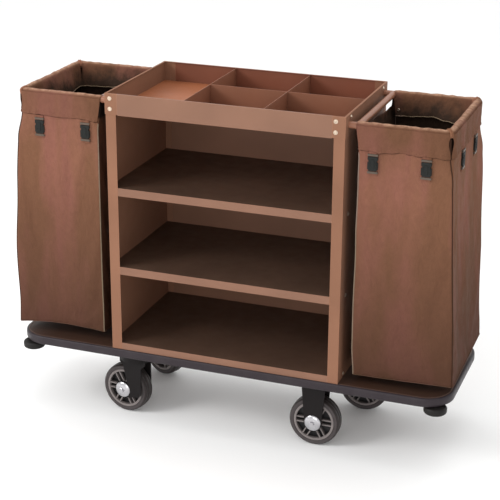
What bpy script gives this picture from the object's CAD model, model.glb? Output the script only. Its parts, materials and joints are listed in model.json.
import json
import math
import random

import bmesh
import bpy
from mathutils import Matrix, Vector, noise


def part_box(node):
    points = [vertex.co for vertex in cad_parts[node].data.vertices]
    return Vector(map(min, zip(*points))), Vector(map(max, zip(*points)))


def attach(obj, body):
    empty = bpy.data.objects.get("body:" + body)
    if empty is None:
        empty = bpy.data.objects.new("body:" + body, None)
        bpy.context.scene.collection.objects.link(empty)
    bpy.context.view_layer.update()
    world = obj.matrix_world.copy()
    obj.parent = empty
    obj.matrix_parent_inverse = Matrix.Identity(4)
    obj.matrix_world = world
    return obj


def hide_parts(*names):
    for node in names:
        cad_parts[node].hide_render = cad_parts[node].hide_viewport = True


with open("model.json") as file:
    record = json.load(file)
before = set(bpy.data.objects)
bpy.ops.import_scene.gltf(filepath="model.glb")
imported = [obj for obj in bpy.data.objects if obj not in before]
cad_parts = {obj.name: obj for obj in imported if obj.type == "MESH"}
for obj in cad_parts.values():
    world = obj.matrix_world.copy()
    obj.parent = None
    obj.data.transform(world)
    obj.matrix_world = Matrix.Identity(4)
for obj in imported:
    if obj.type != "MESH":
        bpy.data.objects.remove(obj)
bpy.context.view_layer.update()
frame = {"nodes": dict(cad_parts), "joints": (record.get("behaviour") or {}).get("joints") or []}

nodes = frame["nodes"]
scene = bpy.context.scene
rng = random.Random(7)

SIDES = (("left", -1), ("right", 1))


# ---------------------------------------------------------------- material tools

def srgb(red, green, blue):
    """Linear colour of an 8-bit display colour."""
    linear = []
    for value in (red, green, blue):
        value /= 255
        linear.append(value / 12.92 if value <= 0.04045 else ((value + 0.055) / 1.055) ** 2.4)
    return (*linear, 1)


def shade(colour, factor):
    return tuple(min(1, channel * factor) for channel in colour[:3]) + (1,)


def assign(target, **values):
    for key, value in values.items():
        setattr(target, key, value)
    return target


class Shader:
    """A Principled material built step by step."""

    def __init__(self, name, roughness=0.5, metallic=0.0, specular=0.5):
        self.material = bpy.data.materials.new(name)
        self.material.use_nodes = True
        self.tree = self.material.node_tree
        self.bsdf = self.tree.nodes["Principled BSDF"]
        self.bsdf.inputs["Roughness"].default_value = roughness
        self.bsdf.inputs["Metallic"].default_value = metallic
        self.bsdf.inputs["Specular IOR Level"].default_value = specular
        self.coords = self.tree.nodes.new("ShaderNodeTexCoord").outputs["Object"]

    def node(self, kind, **settings):
        return assign(self.tree.nodes.new(f"ShaderNode{kind}"), **settings)

    def join(self, source, target):
        self.tree.links.new(source, target)

    def stretched(self, x, y, z):
        """Object coordinates scaled along each axis."""
        mapping = self.node("Mapping")
        mapping.inputs["Scale"].default_value = (x, y, z)
        self.join(self.coords, mapping.inputs["Vector"])
        return mapping.outputs["Vector"]

    def noise(self, scale, detail=3.0, vector=None, roughness=0.5, distortion=0.0):
        made = self.node("TexNoise")
        made.inputs["Scale"].default_value = scale
        made.inputs["Detail"].default_value = detail
        made.inputs["Roughness"].default_value = roughness
        made.inputs["Distortion"].default_value = distortion
        self.join(vector or self.coords, made.inputs["Vector"])
        return made.outputs["Fac"]

    def spread(self, source, low, high, out_low=0.0, out_high=1.0):
        """Remap a value from one range to another, clamped."""
        made = self.node("MapRange")
        for name, value in (("From Min", low), ("From Max", high),
                            ("To Min", out_low), ("To Max", out_high)):
            made.inputs[name].default_value = value
        self.join(source, made.inputs["Value"])
        return made.outputs["Result"]

    def math(self, operation, first, second=None):
        made = self.node("Math", operation=operation)
        for index, value in enumerate((first, second)):
            if value is None:
                continue
            if isinstance(value, (int, float)):
                made.inputs[index].default_value = value
            else:
                self.join(value, made.inputs[index])
        return made.outputs["Value"]

    def mix(self, factor, first, second, blend="MIX"):
        """Mix two colours, each a socket or a plain colour."""
        made = self.node("Mix", data_type="RGBA", blend_type=blend)
        if isinstance(factor, (int, float)):
            made.inputs[0].default_value = factor
        else:
            self.join(factor, made.inputs[0])
        for index, value in ((6, first), (7, second)):
            if isinstance(value, tuple):
                made.inputs[index].default_value = value
            else:
                self.join(value, made.inputs[index])
        return made.outputs[2]

    def wander(self, source, colour, dark, light, low=0.35, high=0.65):
        """Colour that wanders between two of its shades."""
        return self.mix(self.spread(source, low, high), shade(colour, dark), shade(colour, light))

    def colour(self, source):
        self.join(source, self.bsdf.inputs["Base Color"])

    def rough(self, source, low, high):
        self.join(self.spread(source, 0.3, 0.7, low, high), self.bsdf.inputs["Roughness"])

    def bump(self, height, distance, strength=1.0, under=None):
        made = self.node("Bump")
        made.inputs["Strength"].default_value = strength
        made.inputs["Distance"].default_value = distance
        self.join(height, made.inputs["Height"])
        if under is not None:
            self.join(under, made.inputs["Normal"])
        self.join(made.outputs["Normal"], self.bsdf.inputs["Normal"])
        return made.outputs["Normal"]

    def edges(self, radius):
        """1 along sharp edges and 0 on flat faces."""
        bevel = self.node("Bevel", samples=4)
        bevel.inputs["Radius"].default_value = radius
        plain = self.node("NewGeometry").outputs["Normal"]
        dot = self.node("VectorMath", operation="DOT_PRODUCT")
        self.join(bevel.outputs["Normal"], dot.inputs[0])
        self.join(plain, dot.inputs[1])
        return self.spread(dot.outputs["Value"], 0.995, 0.9)


def powder_coat(name, colour, roughness=0.46, wear=0.35, specular=0.3):
    """Satin powder coat: fine orange peel, faint cloudiness and lighter rubbed edges."""
    made = Shader(name, roughness, specular=specular)
    base = made.wander(made.noise(5, 4), colour, 0.93, 1.07)
    broken = made.math("MULTIPLY", made.edges(0.0012), made.spread(made.noise(90, 4), 0.3, 0.6, 0.4, 1))
    worn = made.math("MULTIPLY", broken, wear)
    made.colour(made.mix(worn, base, shade(colour, 3.2)))
    made.rough(made.noise(26, 5), roughness - 0.05, roughness + 0.07)
    made.bump(made.noise(1500, 2), 0.00012, 0.5)
    return made.material


def rubber(name, colour, roughness=0.62, dust=0.12):
    """Matte rubber with pale dust in uneven patches."""
    made = Shader(name, roughness, specular=0.22)
    patches = made.spread(made.noise(22, 6, roughness=0.65), 0.45, 0.75, 0, dust)
    base = made.wander(made.noise(420, 3), colour, 0.9, 1.1, 0.3, 0.7)
    made.colour(made.mix(patches, base, srgb(150, 145, 142)))
    made.rough(made.noise(60, 4), roughness - 0.07, roughness + 0.08)
    made.bump(made.noise(700, 4), 0.0002, 0.45)
    return made.material


def moulded(name, colour, roughness=0.42, grain=0.00015):
    """Moulded plastic with a fine grain."""
    made = Shader(name, roughness, specular=0.3)
    made.colour(made.wander(made.noise(14, 4), colour, 0.92, 1.08))
    made.rough(made.noise(45, 4), roughness - 0.06, roughness + 0.08)
    made.bump(made.noise(900, 3), grain, 0.4)
    return made.material


def plated(name, colour, roughness=0.24, brushed=0.25):
    """Plated steel with fine turning marks and slight smudges."""
    made = Shader(name, roughness, metallic=1.0)
    marks = made.noise(260, 5, vector=made.stretched(1, 0.25, 1))
    smudge = made.spread(made.noise(35, 5), 0.4, 0.7)
    made.colour(made.mix(smudge, colour, shade(colour, 0.8)))
    made.rough(made.noise(80, 5), roughness - 0.06, roughness + 0.12)
    made.bump(marks, 0.00006, brushed)
    return made.material


def woven_cloth(name, colour, thread=0.0011, darker_foot=0.0, lining=False, rubbed_rim=False):
    """Plain weave with soft colour patches, fine mottling and creases.

    A lining darkens below the rim, and a rubbed rim is paler along its rounded top. Cloth with a
    darker foot is also nearly black where the cuff covers it.
    """
    made = Shader(name, 0.7, specular=0.04)
    split = made.node("SeparateXYZ")
    made.join(made.coords, split.inputs["Vector"])
    turn = math.pi / thread
    across = made.math("ADD", split.outputs["X"], split.outputs["Y"])
    warp = made.math("SINE", made.math("MULTIPLY", across, turn))
    weft = made.math("SINE", made.math("MULTIPLY", split.outputs["Z"], turn))
    weave = made.spread(made.math("MULTIPLY", warp, weft), -1, 1)
    olive = (colour[0] * 0.82, colour[1] * 0.86, colour[2] * 0.78, 1)
    rose = (colour[0] * 1.08, colour[1] * 0.97, colour[2] * 1.2, 1)
    broad = made.spread(made.noise(1, 2, vector=made.stretched(9, 9, 2.6)), 0.42, 0.58)
    streaks = made.spread(made.noise(1, 4, vector=made.stretched(24, 24, 4), distortion=0.3), 0.35, 0.65)
    base = made.mix(broad, olive, colour)
    base = made.mix(made.math("MULTIPLY", made.math("MULTIPLY", broad, streaks), 0.6), base, rose)
    mottled = made.noise(1, 5, vector=made.stretched(58, 58, 44), roughness=0.7, distortion=0.6)
    base = made.mix(1.0, base, made.spread(mottled, 0.3, 0.7, 0.92, 1.08), "MULTIPLY")
    if darker_foot:
        share = made.spread(split.outputs["Z"], 0.26, 0.80, darker_foot, 0)
        base = made.mix(share, base, srgb(52, 34, 27))
        base = made.mix(made.spread(split.outputs["Z"], 0.930, 0.938), base, srgb(24, 17, 14))
    threads = made.mix(made.spread(weave, 0, 1, 0, 0.2), base, (0.02, 0.012, 0.01, 1))
    if lining:
        ragged = made.spread(made.noise(17, 5, roughness=0.65), 0.3, 0.7, -0.032, 0.030)
        height = made.math("ADD", split.outputs["Z"], ragged)
        threads = made.mix(made.spread(height, 0.984, 0.938), threads, srgb(58, 44, 36))
    if rubbed_rim:
        broken = made.spread(made.noise(55, 5, roughness=0.65), 0.32, 0.62, 0.1, 0.75)
        band = made.math("MULTIPLY", made.spread(split.outputs["Z"], 0.9955, 1.0005), broken)
        threads = made.mix(band, threads, srgb(184, 146, 121))
    made.colour(threads)
    made.rough(made.noise(30, 4), 0.62, 0.78)
    creases = made.noise(1, 5, vector=made.stretched(17, 17, 8), roughness=0.6, distortion=0.8)
    puckers = made.noise(1, 4, vector=made.stretched(75, 75, 34), roughness=0.6, distortion=1.2)
    near_hem = made.math("MULTIPLY", made.spread(split.outputs["Z"], 0.84, 0.92),
                         made.spread(split.outputs["Z"], 0.975, 0.93))
    puckers = made.math("MULTIPLY", made.math("MULTIPLY", puckers, near_hem), 0.36)
    crinkles = made.noise(1, 4, vector=made.stretched(46, 46, 26), roughness=0.6, distortion=1.1)
    relief = made.math("ADD", creases, made.math("MULTIPLY", crinkles, 0.2))
    under = made.bump(made.math("ADD", relief, puckers), 0.0085, 0.9)
    made.bump(weave, 0.00018, 0.35, under)
    return made.material


def sealed_board(name, colour):
    """Dark laminate with a fine grain along the cart."""
    made = Shader(name, 0.42, specular=0.3)
    grain = made.noise(1, 8, vector=made.stretched(6, 160, 60), roughness=0.6, distortion=0.4)
    cloud = made.noise(3.5, 4)
    base = made.wander(grain, colour, 0.8, 1.15)
    made.colour(made.mix(made.spread(cloud, 0.4, 0.6, 0, 0.25), base, shade(colour, 1.35)))
    made.rough(made.noise(18, 5), 0.36, 0.5)
    made.bump(grain, 0.0002, 0.4)
    return made.material


def ribbed_wheel(name, colour, centre, axis):
    """Grey moulded plastic that is almost black deep between the ribs."""
    made = Shader(name, 0.5)
    offset = made.node("VectorMath", operation="SUBTRACT")
    offset.inputs[1].default_value = centre
    made.join(made.coords, offset.inputs[0])
    along = made.node("VectorMath", operation="DOT_PRODUCT")
    along.inputs[1].default_value = axis
    made.join(offset.outputs["Vector"], along.inputs[0])
    depth = made.math("ABSOLUTE", along.outputs["Value"])
    mottled = made.wander(made.noise(60, 4), colour, 0.86, 1.1, 0.3, 0.7)
    made.colour(made.mix(made.spread(depth, 0.006, 0.0165), srgb(18, 15, 16), mottled))
    made.rough(made.noise(70, 4), 0.42, 0.6)
    made.bump(made.noise(800, 3), 0.00015, 0.4)
    return made.material


def topped_coat(name, colour, top, roughness=0.46):
    """Powder coat whose upward faces are a darker, duller shade."""
    made = Shader(name, roughness, specular=0.3)
    split = made.node("SeparateXYZ")
    made.join(made.node("NewGeometry").outputs["Normal"], split.inputs["Vector"])
    level = made.spread(split.outputs["Z"], 0.6, 0.95)
    cloud = made.noise(6, 4)
    side = made.wander(cloud, colour, 0.93, 1.07)
    upper = made.wander(cloud, top, 0.88, 1.12)
    base = made.mix(level, side, upper)
    worn = made.math("MULTIPLY", made.edges(0.0014), made.spread(made.noise(90, 4), 0.3, 0.6, 0.2, 0.5))
    made.colour(made.mix(worn, base, shade(colour, 2.2)))
    made.rough(made.noise(26, 5), roughness - 0.05, roughness + 0.09)
    made.bump(made.noise(1500, 2), 0.00012, 0.5)
    return made.material


COPPER = srgb(126, 90, 71)
CLOTH = srgb(127, 86, 68)

paint = {
    "cabinet": powder_coat("cabinet_paint", COPPER),
    "side": powder_coat("side_paint", shade(COPPER, 1.12), 0.58, specular=0.05),
    "shelf": topped_coat("shelf_paint", COPPER, srgb(76, 57, 46)),
    "tray": powder_coat("tray_paint", srgb(126, 84, 64)),
    "rear_apron": powder_coat("rear_apron_paint", srgb(118, 71, 53)),
    "tray_floor": powder_coat("tray_floor_paint", srgb(152, 92, 60)),
    "frame": powder_coat("frame_paint", srgb(142, 96, 74), 0.32, 0.2),
    "fork": powder_coat("fork_paint", srgb(21, 17, 17), 0.5, 0.12, 0.16),
    "board": sealed_board("deck_board", srgb(62, 42, 32)),
    "bumper": rubber("bumper_rubber", srgb(45, 38, 42), 0.42, 0.03),
    "bumper_line": rubber("bumper_line", srgb(98, 76, 66), 0.4, 0.05),
    "roller": rubber("roller_rubber", srgb(24, 21, 20), 0.5, 0.02),
    "tyre": rubber("tyre_tread", srgb(48, 42, 41), 0.46, 0.05),
    "tyre_side": rubber("tyre_side", srgb(66, 60, 60), 0.5, 0.05),
    "zinc": plated("zinc_steel", (0.62, 0.6, 0.58, 1)),
    "screw": plated("screw_steel", (0.76, 0.63, 0.50, 1), 0.3),
    "chrome": plated("cap_chrome", (0.56, 0.55, 0.57, 1), 0.18, 0.1),
    "buckle": moulded("buckle_plastic", srgb(13, 15, 12), 0.6),
    "buckle_bar": moulded("buckle_bar_plastic", srgb(84, 72, 62), 0.4),
    "cloth": woven_cloth("bag_cloth", CLOTH, darker_foot=0.74),
    "cuff": woven_cloth("cuff_cloth", shade(CLOTH, 0.81), rubbed_rim=True),
    "inner_wall": woven_cloth("inner_wall_cloth", shade(CLOTH, 0.4), darker_foot=0.74),
    "lining": woven_cloth("bag_lining", shade(CLOTH, 0.8), lining=True, rubbed_rim=True),
    "webbing": woven_cloth("webbing", shade(CLOTH, 0.9), 0.0016),
    "fold": woven_cloth("corner_fold", shade(CLOTH, 1.35)),
    "piping": woven_cloth("piping", srgb(132, 114, 99)),
    "foot": woven_cloth("foot_seam", srgb(92, 67, 54)),
    "seam": woven_cloth("seam", shade(CLOTH, 0.24)),
    "binding": woven_cloth("binding", srgb(150, 126, 108)),
}


def paint_node(node, material):
    """Give a CAD node one material."""
    slots = nodes[node].data.materials
    slots.clear()
    slots.append(material)


# ---------------------------------------------------------------- mesh tools

def mesh_data(mesh, name):
    """Mesh data of a bmesh, which is freed."""
    data = bpy.data.meshes.new(name)
    mesh.to_mesh(data)
    mesh.free()
    return data


def merge(mesh, part, matrix):
    """Put a part in its place and add it to a mesh."""
    bmesh.ops.transform(part, matrix=matrix, verts=part.verts)
    data = mesh_data(part, "part")
    mesh.from_mesh(data)
    bpy.data.meshes.remove(data)


def add_object(name, data):
    made = bpy.data.objects.new(name, data)
    scene.collection.objects.link(made)
    return made


def finish_piece(mesh, name, materials, body, smooth=True):
    """Turn a bmesh or mesh into a named piece that rides on a body."""
    data = mesh
    if isinstance(mesh, bmesh.types.BMesh):
        bmesh.ops.recalc_face_normals(mesh, faces=mesh.faces)
        data = mesh_data(mesh, name)
    for polygon in data.polygons:
        polygon.use_smooth = smooth
    piece = add_object(name, data)
    for material in materials if isinstance(materials, (list, tuple)) else [materials]:
        data.materials.append(material)
    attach(piece, body)
    return piece


def modifier(piece, kind, **settings):
    return assign(piece.modifiers.new(kind.lower(), kind), **settings)


def soften(piece, width, segments=2, angle=40):
    """Round the sharp edges of a CAD node or a built piece."""
    modifier(piece, "WELD", merge_threshold=1e-5)
    modifier(piece, "BEVEL", width=width, segments=segments, limit_method="ANGLE",
             angle_limit=math.radians(angle), use_clamp_overlap=True)
    modifier(piece, "WEIGHTED_NORMAL", keep_sharp=False)


def turned(profile, steps):
    """Surface made by turning a closed section of (radius, height) points about Z."""
    mesh = bmesh.new()
    rings = []
    for step in range(steps):
        angle = 2 * math.pi * step / steps
        rings.append([
            mesh.verts.new((radius * math.cos(angle), radius * math.sin(angle), height))
            for radius, height in profile
        ])
    count = len(profile)
    for step in range(steps):
        here, following = rings[step], rings[(step + 1) % steps]
        for index in range(count):
            after = (index + 1) % count
            mesh.faces.new((here[index], following[index], following[after], here[after]))
    bmesh.ops.remove_doubles(mesh, verts=mesh.verts, dist=1e-6)
    return mesh


def frame_to(point, direction):
    """Matrix that carries +Z to a direction and the origin to a point."""
    z = Vector(direction).normalized()
    x = Vector((0, 0, 1)).cross(z)
    if x.length < 1e-5:
        x = Vector((1, 0, 0))
    x.normalize()
    y = z.cross(x)
    matrix = Matrix((x, y, z)).transposed().to_4x4()
    matrix.translation = Vector(point)
    return matrix


def sweep(path, profile):
    """Closed ring of a section of (outwards, upwards) points along level points with outward normals."""
    mesh = bmesh.new()
    rings = []
    for point, outward in path:
        rings.append([
            mesh.verts.new(Vector(point) + Vector(outward) * across + Vector((0, 0, up)))
            for across, up in profile
        ])
    count = len(profile)
    for here, following in zip(rings, rings[1:] + rings[:1]):
        for index in range(count):
            after = (index + 1) % count
            mesh.faces.new((here[index], following[index], following[after], here[after]))
    return mesh


def rounded_outline(low, high, radii, arc_steps, parts_of_side):
    """Level rounded rectangle as (x, y, outward x, outward y), anticlockwise from the low-x side.

    radii are those of the corners at (low x, low y), (high x, low y), (high x, high y), (low x, high y).
    parts_of_side gives the number of parts of a side from its index and its length.
    """
    (x0, y0), (x1, y1) = low, high
    corners = (
        (x0 + radii[0], y0 + radii[0], 180), (x1 - radii[1], y0 + radii[1], 270),
        (x1 - radii[2], y1 - radii[2], 0), (x0 + radii[3], y1 - radii[3], 90),
    )
    points = []
    for index, (cx, cy, start) in enumerate(corners):
        radius = radii[index]
        for step_index in range(arc_steps + 1):
            angle = math.radians(start + 90 * step_index / arc_steps)
            nx, ny = math.cos(angle), math.sin(angle)
            points.append((cx + radius * nx, cy + radius * ny, nx, ny))
        after = corners[(index + 1) % 4]
        angle = math.radians(start + 90)
        nx, ny = math.cos(angle), math.sin(angle)
        outward = Vector((nx, ny))
        begin = Vector((cx, cy)) + radius * outward
        end = Vector(after[:2]) + radii[(index + 1) % 4] * outward
        count = parts_of_side(index, (end - begin).length)
        for part in range(1, count):
            place = begin.lerp(end, part / count)
            points.append((place.x, place.y, nx, ny))
    return points


def wobble(x, y, z, scale, seed=0.0):
    """Smooth noise from -1 to 1."""
    return noise.noise(Vector((x * scale + seed, y * scale - seed, z * scale + 3.1 * seed)))


# ---------------------------------------------------------------- cabinet and base

SHEET_BEVEL = 0.0005
for node, coat in (("left_side_panel", "side"), ("right_side_panel", "side"), ("left_tray_side", "side"),
                   ("right_tray_side", "side"), ("back_panel", "cabinet"), ("front_apron", "cabinet"),
                   ("rear_apron", "rear_apron")):
    paint_node(node, paint[coat])
    soften(nodes[node], SHEET_BEVEL)
for node in ("upper_shelf", "middle_shelf", "bottom_shelf"):
    paint_node(node, paint["shelf"])
    soften(nodes[node], SHEET_BEVEL)
for node in ("tray_floor", "left_cross_divider", "right_cross_divider", "long_divider"):
    paint_node(node, paint["tray_floor" if node == "tray_floor" else "tray"])
    soften(nodes[node], SHEET_BEVEL)
for node in ("left_bag_frame", "right_bag_frame"):
    paint_node(node, paint["frame"])
paint_node("base_plate", paint["board"])
paint_node("caster_bolts", paint["zinc"])
paint_node("roller_bolts", paint["zinc"])


def make_bumper():
    """Soft moulding round the board, with a rounded outside and a thin lip over the deck."""
    low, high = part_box("edge_bumper")
    board_low, board_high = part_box("base_plate")
    depth = board_low.x - low.x
    corner = 0.085 - depth
    outline = rounded_outline(board_low.xy, board_high.xy, [corner] * 4, 16,
                              lambda _, length: max(1, round(length / 0.05)))
    path = [((x, y, 0), (nx, ny, 0)) for x, y, nx, ny in outline]
    bottom, top = low.z, high.z
    lip = 0.0036
    profile = [
        (0.0, bottom), (depth * 0.55, bottom), (depth * 0.86, bottom + 0.0018),
        (depth, bottom + 0.006), (depth, bottom + 0.012), (depth * 0.97, bottom + 0.0135),
        (depth, bottom + 0.015), (depth, top - 0.006), (depth * 0.86, top - 0.0015),
        (depth * 0.5, top), (0.0004, top), (-lip * 0.5, top + 0.0004), (-lip, top + 0.0001),
    ]
    mesh = sweep(path, profile)
    for face in mesh.faces:
        if max(vertex.co.z for vertex in face.verts) > top + 0.0003:
            face.material_index = 1
    piece = finish_piece(mesh, "edge_moulding", [paint["bumper"], paint["bumper_line"]],
                         "cart")
    modifier(piece, "WEIGHTED_NORMAL", keep_sharp=False)
    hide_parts("edge_bumper")


make_bumper()


def screw_head(mesh, matrix, radius, height):
    """Pan head with a cross recess."""
    rings = ((0.36, 0.95), (0.62, 0.8), (0.84, 0.5), (0.97, 0.16), (1.0, 0.0))
    steps = 32
    spin = rng.uniform(0, math.pi / 2)
    loops = []
    for share, lift in rings:
        loop = []
        for step in range(steps):
            angle = 2 * math.pi * step / steps
            recess = abs(math.sin(2 * (angle - spin))) < 0.45 and share < 0.6
            height_here = height * (lift - (0.5 if recess else 0))
            loop.append(mesh.verts.new(matrix @ Vector((
                radius * share * math.cos(angle), radius * share * math.sin(angle), height_here))))
        loops.append(loop)
    top = mesh.verts.new(matrix @ Vector((0, 0, height * 0.4)))
    for step in range(steps):
        after = (step + 1) % steps
        mesh.faces.new((top, loops[0][step], loops[0][after]))
        for inner, outer in zip(loops, loops[1:]):
            mesh.faces.new((inner[step], outer[step], outer[after], inner[after]))


def make_screws(node, name, radius, height, stand_off):
    """Detailed heads on washer rings, at the places of the domes of a CAD node."""
    source = bmesh.new()
    source.from_mesh(nodes[node].data)
    bmesh.ops.remove_doubles(source, verts=source.verts, dist=1e-6)
    todo, mesh = set(source.verts), bmesh.new()
    while todo:
        seed = min(todo, key=lambda vert: vert.index)
        island, stack = set(), [seed]
        while stack:
            vert = stack.pop()
            if vert in island:
                continue
            island.add(vert)
            stack.extend(edge.other_vert(vert) for edge in vert.link_edges)
        todo -= island
        places = [vert.co for vert in island]
        low = Vector(map(min, zip(*places)))
        high = Vector(map(max, zip(*places)))
        sizes = high - low
        thin = 0 if sizes.x < sizes.y else 1
        middle = (low + high) / 2
        outward = Vector((0, 0, 0))
        outward[thin] = 1 if middle[thin] > 0 else -1
        foot = middle.copy()
        foot[thin] = low[thin] if outward[thin] > 0 else high[thin]
        screw_head(mesh, frame_to(foot + outward * stand_off, outward), radius, height)
        ring = turned([(radius * 1.25, 0), (radius * 1.25, stand_off), (radius * 0.9, stand_off * 1.4),
                       (radius * 0.6, 0)], 32)
        merge(mesh, ring, frame_to(foot, outward))
    source.free()
    piece = finish_piece(mesh, name, paint["screw"], "cart")
    modifier(piece, "EDGE_SPLIT", split_angle=math.radians(50))
    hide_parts(node)


make_screws("tray_screws", "tray_screw_heads", 0.0048, 0.0026, 0.0007)
make_screws("shelf_screws", "shelf_screw_heads", 0.0046, 0.0022, 0.0006)


# ---------------------------------------------------------------- casters and rollers

def tyre_profile(inner, outer, half):
    """Closed section of a tyre as (radius, axial) points, with a rounded tread and side rings."""
    side = [
        (inner, half * 0.86), (inner + 0.0015, half * 0.93), (inner + 0.003, half * 0.95),
        (inner + 0.0042, half * 0.91), (inner + 0.0056, half * 0.95), (inner + 0.0085, half * 0.98),
        (outer - 0.0045, half * 0.93), (outer - 0.0018, half * 0.8), (outer - 0.0006, half * 0.62),
        (outer, half * 0.4), (outer - 0.0009, half * 0.37), (outer - 0.0009, half * 0.33),
        (outer, half * 0.3),
    ]
    return side + [(radius, -axial) for radius, axial in reversed(side)]


CASTERS = {
    joint["child"]: joint for joint in frame["joints"] if joint["child"].endswith("_wheel")
}
for wheel, joint in CASTERS.items():
    name = wheel[:-len("_wheel")]
    centre, axis = Vector(joint["pos_m"]), Vector(joint["axis"])
    low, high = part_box(f"{name}_tyre")
    tyre = turned(tyre_profile(0.061, (high.z - low.z) / 2, 0.023), 96)
    for face in tyre.faces:
        if min(abs(vertex.co.z) for vertex in face.verts) > 0.0205:
            face.material_index = 1
    bmesh.ops.transform(tyre, matrix=frame_to(centre, axis), verts=tyre.verts)
    piece = finish_piece(tyre, f"{name}_tyre_ring", [paint["tyre"], paint["tyre_side"]],
                         wheel)
    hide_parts(f"{name}_tyre")
    paint_node(f"{name}_wheel_centre",
               ribbed_wheel(f"{name}_wheel_plastic", srgb(114, 106, 104), centre, axis))
    soften(nodes[f"{name}_wheel_centre"], 0.0008)
    paint_node(f"{name}_fork", paint["fork"])
    soften(nodes[f"{name}_fork"], 0.0016, 3)
    paint_node(f"{name}_mounting_plate", paint["fork"])
    soften(nodes[f"{name}_mounting_plate"], 0.0008)
    paint_node(f"{name}_axle", paint["chrome"])
    soften(nodes[f"{name}_axle"], 0.0005)
    paint_node(f"{name}_axle_caps", paint["chrome"])
    if f"{name}_kingpin" in nodes:
        paint_node(f"{name}_kingpin", paint["zinc"])
for end in ("front", "rear"):
    for side_name, _ in SIDES:
        paint_node(f"{end}_{side_name}_corner_roller", paint["roller"])


# ---------------------------------------------------------------- bags

TUBE = 0.0095
CUFF_DROP = 0.063
BODY_TOP = 0.987
INNER_WALL_SLOT = 2
FRAME_BEND = 0.016
HANG_FRAMES = 40
HANG_LIMIT = 0.014
STITCH_PITCH = 0.0062
CORNER_POINTS = 5
SIDE_RUNS = (26, 38, 26, 38)
SEAM_COLUMNS = [sum(SIDE_RUNS[:side]) + side * (CORNER_POINTS - 1) + 2 for side in range(4)]
RING_POINTS = sum(SIDE_RUNS) + 4 * (CORNER_POINTS - 1)


def smooth(value, low, high):
    share = min(1, max(0, (value - low) / (high - low)))
    return share * share * (3 - 2 * share)


def bag_ring(height, low):
    """Plan of a bag at a height: soft round corners at the rim that sharpen into sewn corners."""
    share = min(1, max(0, (0.836 - height) / (0.836 - low)))
    reach = 0.636 + 0.007 * (1 - smooth(height, 0.85, 0.93)) + 0.030 * share ** 0.85
    near = 0.3745 + 0.0105 * (1 - smooth(height, 0.895, 0.975)) + 0.001 * share
    depth = 0.190 + 0.003 * math.sin(math.pi * share) - 0.002 * share
    reach -= 0.0015 * smooth(height, 0.93, 0.965)
    corner = 0.010 + 0.016 * smooth(height, 0.86, 0.95)
    outline = rounded_outline((near, -depth), (reach, depth), (0.006, corner, corner, 0.006),
                              CORNER_POINTS - 1, lambda index, _: SIDE_RUNS[index])
    return [Vector((x, y)) for x, y, _, _ in outline]


def foot_lift(side, x, y):
    """Uneven height of a bag's foot: each bag hangs a little askew."""
    outer = min(1, max(0, (x - 0.386) / 0.285))
    rear = min(1, max(0, (y + 0.19) / 0.38))
    uneven = 0.0016 * wobble(x, y, 0, 16, 21)
    if side > 0:
        return uneven - 0.005 + 0.007 * outer + 0.010 * outer * rear
    return uneven + 0.003 - 0.008 * outer ** 3 + 0.008 * math.sin(math.pi * outer) * (1 - rear)


def make_bag_body(name, side):
    """Sewn body of a bag: a grid of cloth that hangs between its rim and a stiff bottom."""
    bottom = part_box(f"{name}_bag")[0].z + 0.002
    rows = 74
    heights = [bottom + (BODY_TOP - bottom) * row / (rows - 1) for row in range(rows)]
    seed = 5.0 if side > 0 else 11.0
    vertices, faces = [], []
    for height in heights:
        ease = smooth(height, bottom, bottom + 0.09) * (1 - 0.7 * smooth(height, 0.84, 0.93))
        for x, y in bag_ring(height, bottom):
            ridge = 1 - 2 * abs(wobble(x, y, height * 0.22 + 0.3 * (x + y), 17, seed + 3))
            push = 0.0095 * wobble(x, y, height * 0.16, 12, seed) * ease
            push += 0.0044 * ridge * ease
            push += 0.0045 * wobble(x, y, height, 5, seed + 6) * ease
            centre = Vector((0.51, 0))
            outward = (Vector((x, y)) - centre).normalized()
            lift = foot_lift(side, x, y) * (1 - smooth(height, bottom, bottom + 0.2))
            vertices.append((side * (x + push * outward.x), y + push * outward.y, height + lift))
    for row in range(rows - 1):
        for point in range(RING_POINTS):
            after = (point + 1) % RING_POINTS
            face = (row * RING_POINTS + point, row * RING_POINTS + after,
                    (row + 1) * RING_POINTS + after, (row + 1) * RING_POINTS + point)
            faces.append(face if side > 0 else tuple(reversed(face)))
    data = bpy.data.meshes.new(f"{name}_bag_body")
    data.from_pydata(vertices, [], faces)
    piece = add_object(f"{name}_bag_body", data)
    hang(piece, side)
    trim_inner_wall(piece)
    return piece


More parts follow.
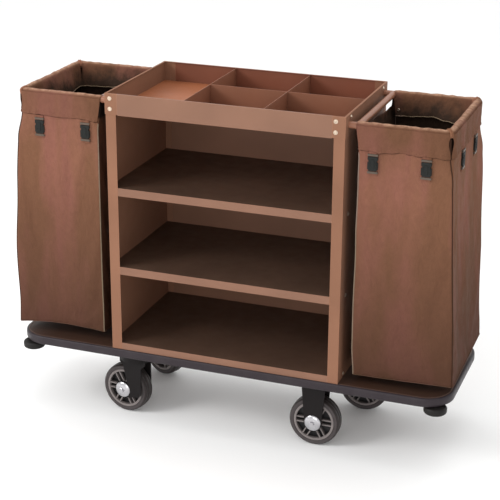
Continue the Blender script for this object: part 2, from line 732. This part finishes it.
def hang(piece, side):
    """Let the body fall into folds between its pinned rim, bottom and seams."""
    start = [vertex.co.copy() for vertex in piece.data.vertices]
    piece.shape_key_add(name="Basis")
    slack = piece.shape_key_add(name="slack")
    for index, point in enumerate(start):
        centre = Vector((side * 0.51, 0))
        slack.data[index].co = (
            centre.x + (point.x - centre.x) * 1.035, centre.y + (point.y - centre.y) * 1.035,
            point.z * 1.012)
    pins = piece.vertex_groups.new(name="pins")
    for index, point in enumerate(start):
        column = index % RING_POINTS
        weight = 0.0
        if point.z > 0.93 or index < RING_POINTS:
            weight = 1.0
        elif min(abs(column - seam) for seam in SEAM_COLUMNS) <= 1:
            weight = 0.75
        if weight:
            pins.add([index], weight, "REPLACE")
    cloth = modifier(piece, "CLOTH")
    assign(cloth.settings, quality=6, mass=0.25, tension_stiffness=18, compression_stiffness=18,
           shear_stiffness=6, bending_stiffness=0.6, vertex_group_mass="pins", pin_stiffness=2,
           rest_shape_key=slack, use_pressure=True, uniform_pressure_force=0.12)
    cloth.settings.effector_weights.gravity = 0.6
    cloth.collision_settings.use_collision = False
    assign(cloth.point_cache, frame_start=1, frame_end=HANG_FRAMES)
    for step in range(1, HANG_FRAMES + 1):
        scene.frame_set(step)
    bpy.context.view_layer.update()
    graph = bpy.context.evaluated_depsgraph_get()
    result = piece.evaluated_get(graph).to_mesh()
    places = [vertex.co.copy() for vertex in result.vertices]
    piece.evaluated_get(graph).to_mesh_clear()
    piece.modifiers.clear()
    piece.shape_key_clear()
    piece.vertex_groups.clear()
    scene.frame_set(1)
    for vertex, before, after in zip(piece.data.vertices, start, places):
        shift = after - before
        if shift.length > HANG_LIMIT:
            shift *= HANG_LIMIT / shift.length
        vertex.co = before + shift


def trim_inner_wall(piece):
    """Lower the edge of the wall beside the cabinet to a slack curve."""
    mesh = bmesh.new()
    mesh.from_mesh(piece.data)
    for vertex in mesh.verts:
        if abs(vertex.co.x) < 0.392 and abs(vertex.co.y) < 0.1865 and vertex.co.z > 0.90:
            across = vertex.co.y / 0.186
            sag = 0.966 - 0.015 * across - 0.004 * (1 - across ** 2) + 0.002 * math.sin(9 * across)
            share = (vertex.co.z - 0.90) / (BODY_TOP - 0.90)
            vertex.co.z = 0.90 + share * (sag - 0.90)
    mesh.to_mesh(piece.data)
    mesh.free()


def tube_height():
    """Height of the middle of the bag frames."""
    low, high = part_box("right_bag_frame")
    return (low.z + high.z) / 2


def cuff_path():
    """Middle line of the right cuff over its frame as (x, y, outward x, outward y, part).

    The parts are the front, the outer end and the rear.
    """
    frame_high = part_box("right_bag_frame")[1]
    reach = frame_high.x - TUBE
    depth = frame_high.y - TUBE
    bend = FRAME_BEND
    points = []

    def straight(begin, end, outward, part, count):
        for step in range(count + 1):
            place = Vector(begin).lerp(Vector(end), step / count)
            points.append((place.x, place.y, *outward, part))

    def corner(cx, cy, start, part, first, last):
        for step in range(first, last + 1):
            angle = math.radians(start + 90 * step / 8)
            nx, ny = math.cos(angle), math.sin(angle)
            points.append((cx + bend * nx, cy + bend * ny, nx, ny, part))

    straight((0.3745, -depth), (reach - bend - 0.001, -depth), (0, -1), 0, 64)
    corner(reach - bend, -(depth - bend), 270, 0, 1, 4)
    corner(reach - bend, -(depth - bend), 270, 1, 4, 8)
    straight((reach, -(depth - bend) + 0.001), (reach, depth - bend - 0.001), (1, 0), 1, 84)
    corner(reach - bend, depth - bend, 0, 1, 0, 4)
    corner(reach - bend, depth - bend, 0, 2, 4, 7)
    straight((reach - bend - 0.001, depth), (0.3815, depth), (0, 1), 2, 64)
    return points


def cuff_shift(x, y, up, seed):
    """How far the hanging part of a cuff stands out, and how far it is lifted."""
    loose = min(1, max(0, -up / CUFF_DROP))
    out = 0.0036 * wobble(x, y, up * 0.6, 12, seed) * loose
    out += 0.0016 * wobble(x, y, up, 44, seed + 4) * loose
    out += 0.0034 * wobble(x, y, up * 0.5, 75, seed + 3) * loose ** 5
    out += 0.0008 * wobble(x, y, up, 90, seed + 2)
    lift = 0.0046 * wobble(x, y, 0, 17, seed + 9) * loose
    lift += 0.0020 * wobble(x, y, 0, 60, seed + 1)
    return out, lift


def flap_drop(x, y, seed):
    """Depth of the inner flap, a little more towards both ends."""
    deeper = 0.007 * (1 - smooth(x, 0.385, 0.44))
    return 0.054 + deeper + 0.008 * smooth(x, 0.45, 0.61) + 0.005 * wobble(x, y, 0, 15, seed + 5)


def slit(loose):
    """How far the two halves of a cuff stand apart at an outer corner."""
    return 0.0075 * smooth(loose, 0.03, 0.22) * (1 - 0.8 * smooth(loose, 0.35, 0.85))


def make_cuff(name, side):
    """Fold of cloth over the frame tube, with a stitched hem and open slits at the outer corners."""
    tube_z = tube_height()
    over = TUBE + 0.0021
    outside = [(over + 0.0008, -CUFF_DROP + 0.0006), (over + 0.0040, -CUFF_DROP),
               (over + 0.0050, -CUFF_DROP + 0.005), (over + 0.0022, -CUFF_DROP + 0.0085),
               (over + 0.0034, -CUFF_DROP + 0.012)]
    outside += [(over + 0.0014, -CUFF_DROP + 0.012 + step * 0.0082) for step in range(1, 8)]
    arch = [(over * math.cos(math.radians(angle)), over * math.sin(math.radians(angle)))
            for angle in range(0, 181, 18)]
    inner_steps = 9
    seed = 2.0 if side > 0 else 8.0
    mesh = bmesh.new()
    parts, binding, hem = {}, [], []
    for x, y, nx, ny, part in cuff_path():
        parts.setdefault(part, []).append((x, y, nx, ny))
    for part, line in parts.items():
        rings = []
        total = len(line) - 1
        for index, (x, y, nx, ny) in enumerate(line):
            drop = flap_drop(x, y, seed)
            inside = [(-over, -drop * step / inner_steps) for step in range(1, inner_steps + 1)]
            profile = outside + arch + inside
            start_share = max(0, 1 - index / 10) if part == 0 else 0
            if part == 2:
                start_share = max(0, 1 - (total - index) / 10)
            ring = []
            for across, up in profile:
                loose = min(1, max(0, -up / CUFF_DROP))
                out, lift = cuff_shift(x, y, up, seed)
                if across < 0:
                    fold = max(-0.4, wobble(x, y, up * 0.5, 13, seed + 7))
                    out = -0.5 * out - 0.0085 * loose - 0.016 * loose * fold
                along = Vector((-ny, nx))
                gap = 0.0
                if part in (0, 1) and index > total - 4:
                    gap = -slit(loose) * (index - total + 4) / 4
                if part in (1, 2) and index < 4:
                    gap = slit(loose) * (4 - index) / 4
                place = Vector((x + nx * (across + out) + along.x * gap,
                                y + ny * (across + out) + along.y * gap, tube_z + up + lift))
                place.x += 0.010 * start_share * loose
                ring.append(mesh.verts.new((side * place.x, place.y, place.z)))
            rings.append(ring)
            binding.append(ring[-1].co.copy())
            under_hem = ring[0].co.copy()
            under_hem.z -= 0.0006 - 0.0008 * wobble(x, y, 0, 34, seed + 6)
            hem.append(under_hem)
        for here, following in zip(rings, rings[1:]):
            for step in range(len(here) - 1):
                face = mesh.faces.new((here[step], following[step], following[step + 1], here[step + 1]))
                face.material_index = 1 if step >= len(outside) + len(arch) - 4 else 0
    piece = finish_piece(mesh, f"{name}_bag_cuff", [paint["cuff"], paint["lining"]],
                         "cart")
    modifier(piece, "SOLIDIFY", thickness=0.0012, offset=0)
    modifier(piece, "SUBSURF", levels=1, render_levels=1)
    strand(f"{name}_bag_binding", [binding], 0.0014, paint["binding"])
    strand(f"{name}_bag_hem_seam", [hem], 0.0012, paint["seam"])
    make_corner_folds(name, side, tube_z, over)
    make_eyelet(name, side)


def make_corner_folds(name, side, tube_z, over):
    """Bunched cloth that arches over the tube at both outer corners."""
    frame_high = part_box("right_bag_frame")[1]
    bend = FRAME_BEND
    lines = []
    for end in (-1, 1):
        nx, ny = math.cos(math.radians(45)), end * math.sin(math.radians(45))
        cx = frame_high.x - TUBE - bend + bend * nx
        cy = end * (frame_high.y - TUBE - bend) + bend * ny
        for offset in (-0.0022, 0.0024):
            line = []
            for step in range(17):
                angle = math.radians(-30 + 215 * step / 16)
                swell = over + 0.0012 + 0.0006 * math.sin(5 * angle + end)
                across, up = swell * math.cos(angle), swell * math.sin(angle)
                line.append((side * (cx + nx * across - ny * offset), cy + ny * across + nx * offset,
                             tube_z + up))
            lines.append(line)
    strand(f"{name}_bag_corner_folds", lines, 0.0024, paint["fold"])


def make_eyelet(name, side):
    """Small metal eyelet in the inner flap."""
    place, facing = (0.399, 0.1645, 0.9475), (0, -1, 0)
    if side < 0:
        place, facing = (-0.599, -0.075, 0.9475), (1, 0, 0)
    ring = turned([(0.0022, 0), (0.0022, 0.0012), (0.003, 0.0018), (0.0042, 0.0012), (0.0044, 0)], 24)
    bmesh.ops.transform(ring, matrix=frame_to(place, facing), verts=ring.verts)
    finish_piece(ring, f"{name}_bag_eyelet", paint["screw"], "cart")


def strand(name, lines, radius, material, closed=False):
    """Round piping along lines of points."""
    curve = bpy.data.curves.new(name, "CURVE")
    curve.dimensions = "3D"
    curve.bevel_depth = radius
    curve.bevel_resolution = 3
    curve.use_fill_caps = True
    for line in lines:
        spline = curve.splines.new("POLY")
        spline.points.add(len(line) - 1)
        spline.use_cyclic_u = closed
        for point, place in zip(spline.points, line):
            point.co = (*place, 1)
    holder = add_object(name, curve)
    bpy.context.view_layer.update()
    data = bpy.data.meshes.new_from_object(holder.evaluated_get(bpy.context.evaluated_depsgraph_get()))
    data.name = name
    bpy.data.objects.remove(holder)
    return finish_piece(data, name, material, "cart")


def make_bag_trim(name, side, body):
    """Piping along the sewn corners and the bottom, and the stiff bottom itself."""
    points = [vertex.co.copy() for vertex in body.data.vertices]
    columns = [points[seam::RING_POINTS] for seam in SEAM_COLUMNS]
    for trim, lines, low, high, radius, coat in (
            ("inner_seams", columns[::3], 0, 0.922, 0.0019, "piping"),
            ("outer_seams", columns[1:3], 0, 0.964, 0.0016, "seam"),
            ("slit_linings", columns[1:3], 0.935, 0.984, 0.0034, "seam")):
        lines = [[place for place in line if low < place.z < high] for line in lines]
        strand(f"{name}_bag_{trim}", lines, radius, paint[coat])
    strand(f"{name}_bag_foot_seam", [points[:RING_POINTS]], 0.0013, paint["foot"],
           closed=True)
    mesh = bmesh.new()
    outer = [mesh.verts.new(place) for place in points[:RING_POINTS]]
    level = sum(place.z for place in points[:RING_POINTS]) / RING_POINTS
    centre = Vector((side * 0.52, 0, level))
    loops = [outer]
    for share in (0.75, 0.5, 0.25):
        loop = []
        for place in points[:RING_POINTS]:
            spot = centre + (place - centre) * share
            spot.z += 0.0012 * wobble(spot.x, spot.y, 0, 14) - 0.003 * (1 - share)
            loop.append(mesh.verts.new(spot))
        loops.append(loop)
    for outer_loop, inner_loop in zip(loops, loops[1:]):
        for index in range(RING_POINTS):
            after = (index + 1) % RING_POINTS
            mesh.faces.new((outer_loop[index], outer_loop[after], inner_loop[after], inner_loop[index]))
    mesh.faces.new(loops[-1])
    bottom = finish_piece(mesh, f"{name}_bag_bottom", paint["cloth"], "cart")
    modifier(bottom, "SOLIDIFY", thickness=0.002, offset=1)


def block(mesh, matrix, x0, x1, y0, y1, z0, z1, round_by=0.0):
    """Bevelled block in a local frame, added to a mesh."""
    part = bmesh.new()
    bmesh.ops.create_cube(part, size=1)
    for vertex in part.verts:
        vertex.co = Vector((
            x0 + (x1 - x0) * (vertex.co.x + 0.5), y0 + (y1 - y0) * (vertex.co.y + 0.5),
            z0 + (z1 - z0) * (vertex.co.z + 0.5)))
    if round_by:
        bmesh.ops.bevel(part, geom=part.edges[:], offset=round_by, segments=2, affect="EDGES",
                        profile=0.6)
    merge(mesh, part, matrix)


def make_buckles(name, side, body):
    """Side-release buckles on short webbing tabs below the cuff."""
    plastic, bars, webbing = bmesh.new(), bmesh.new(), bmesh.new()
    inner = 0.372
    places = []
    for reach in (0.052, 0.198):
        for facing in (-1, 1):
            places.append((Vector((side * (inner + reach), facing * 0.19, 0.8915)), Vector((0, facing, 0))))
    for y in (-0.060, 0.095):
        places.append((Vector((side * 0.640, y, 0.8915)), Vector((side, 0, 0))))
    for centre, outward in places:
        _, spot, _, _ = body.closest_point_on_mesh(centre + outward * 0.01)
        surface = centre.copy()
        axis = 0 if outward.x else 1
        surface[axis] = spot[axis]
        matrix = frame_to(surface, outward)
        block(webbing, matrix, -0.0125, 0.0125, 0.016, 0.034, -0.0005, 0.0028, 0.0006)
        block(webbing, matrix, -0.0125, 0.0125, -0.033, -0.016, -0.0005, 0.0028, 0.0006)
        for low_edge in (0.0212, -0.0272):
            block(bars, matrix, -0.0145, 0.0145, low_edge, low_edge + 0.006, 0.0005, 0.0058, 0.0012)
        block(plastic, matrix, -0.0118, 0.0118, -0.0198, 0.0198, 0.0006, 0.0062, 0.0014)
        block(plastic, matrix, -0.0142, 0.0142, 0.0098, 0.0196, 0.0006, 0.0059, 0.0014)
        for edge in (-1, 1):
            x0, x1 = sorted((edge * 0.0105, edge * 0.0146))
            block(plastic, matrix, x0, x1, -0.0160, 0.0040, 0.0004, 0.0054, 0.001)
        block(plastic, matrix, -0.0045, 0.0045, -0.0125, 0.0125, 0.0055, 0.0074, 0.0008)
        for level in (-0.006, 0.0, 0.006):
            block(plastic, matrix, -0.0105, 0.0105, level - 0.0008, level + 0.0008, 0.0058, 0.0068, 0.0003)
    clips = finish_piece(plastic, f"{name}_bag_buckle_clips", paint["buckle"], "cart",
                         smooth=False)
    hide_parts(f"{name}_bag_buckles")
    finish_piece(bars, f"{name}_bag_buckle_bars", paint["buckle_bar"], "cart",
                 smooth=False)
    finish_piece(webbing, f"{name}_bag_webbing", paint["webbing"], "cart", smooth=False)


def make_stitching(name, side):
    """Row of stitches along the hem of the cuff."""
    tube_z = tube_height()
    out = TUBE + 0.0021 + 0.0024
    mesh = bmesh.new()
    seed = 2.0 if side > 0 else 8.0
    line = cuff_path()
    travelled, wanted = 0.0, 0.003
    for (x0, y0, nx, ny, _), (x1, y1, _, _, _) in zip(line, line[1:]):
        length = math.hypot(x1 - x0, y1 - y0)
        while length > 1e-6 and wanted < travelled + length:
            share = (wanted - travelled) / length
            x, y = x0 + (x1 - x0) * share, y0 + (y1 - y0) * share
            up = -CUFF_DROP + 0.0095
            drift, lift = cuff_shift(x, y, up, seed)
            reach = out + drift
            place = Vector((side * (x + nx * reach), y + ny * reach, tube_z + up + lift))
            turn = frame_to(place, Vector((side * nx, ny, 0)))
            block(mesh, turn, -0.0016, 0.0016, -0.0004, 0.0004, -0.0006, 0.0004, 0.0002)
            wanted += STITCH_PITCH
        travelled += length
    finish_piece(mesh, f"{name}_bag_stitches", paint["seam"], "cart", smooth=False)


def make_bag(name, side):
    body = make_bag_body(name, side)
    make_bag_trim(name, side, body)
    make_buckles(name, side, body)
    for polygon in body.data.polygons:
        polygon.use_smooth = True
        if side * polygon.normal.x < -0.7:
            polygon.material_index = INNER_WALL_SLOT
    for coat in ("cloth", "lining", "inner_wall", "lining"):
        body.data.materials.append(paint[coat])
    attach(body, "cart")
    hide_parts(f"{name}_bag")
    modifier(body, "SUBSURF", levels=1, render_levels=1)
    modifier(body, "SOLIDIFY", thickness=0.0014, offset=-1, material_offset=1, material_offset_rim=0)
    make_cuff(name, side)
    make_stitching(name, side)


for side_name, side_sign in SIDES:
    make_bag(side_name, side_sign)


# ---------------------------------------------------------------- floor, light and camera

def make_floor():
    made = Shader("studio_floor", 0.75)
    tint = made.mix(made.spread(made.noise(2, 3), 0.3, 0.7), (0.955, 0.955, 0.95, 1), (0.97, 0.97, 0.965, 1))
    made.colour(tint)
    mesh = bmesh.new()
    bmesh.ops.create_grid(mesh, x_segments=2, y_segments=2, size=14)
    floor = add_object("studio_floor", mesh_data(mesh, "studio_floor"))
    floor.data.materials.append(made.material)


def make_light(name, place, size, power):
    """White area light that faces the middle of the cart."""
    data = bpy.data.lights.new(name, "AREA")
    data.shape = "RECTANGLE"
    data.size, data.size_y = size
    data.energy = power
    lamp = add_object(name, data)
    lamp.matrix_world = frame_to(place, Vector(place) - Vector((0, 0, 0.6)))


def make_camera():
    azimuth, elevation, roll = math.radians(20.02), math.radians(20.68), math.radians(0.37)
    back = Vector((math.sin(azimuth) * math.cos(elevation), -math.cos(azimuth) * math.cos(elevation),
                   math.sin(elevation)))
    right = (-back).cross(Vector((0, 0, 1))).normalized()
    up = right.cross(-back)
    turned_right = right * math.cos(roll) + up * math.sin(roll)
    turned_up = up * math.cos(roll) - right * math.sin(roll)
    data = bpy.data.cameras.new("camera")
    data.lens, data.sensor_width = 102.5, 36
    data.clip_end = 60
    camera = add_object("camera", data)
    matrix = Matrix((turned_right, turned_up, back)).transposed().to_4x4()
    matrix.translation = Vector((0.00768, 0, 0.5219)) + back * 4.2197
    camera.matrix_world = matrix
    scene.camera = camera


make_floor()
world = bpy.data.worlds.new("studio")
world.use_nodes = True
world.node_tree.nodes["Background"].inputs["Color"].default_value = (1, 1, 1, 1)
world.node_tree.nodes["Background"].inputs["Strength"].default_value = 1.0
scene.world = world
make_light("key", (-3.4, -3.0, 3.2), (2.0, 1.6), 125)
make_light("front", (0.6, -4.6, 1.5), (2.4, 1.6), 34)
make_light("top", (0.2, 0.6, 4.2), (3.0, 2.4), 30)
scene.view_settings.view_transform = "Standard"
make_camera()
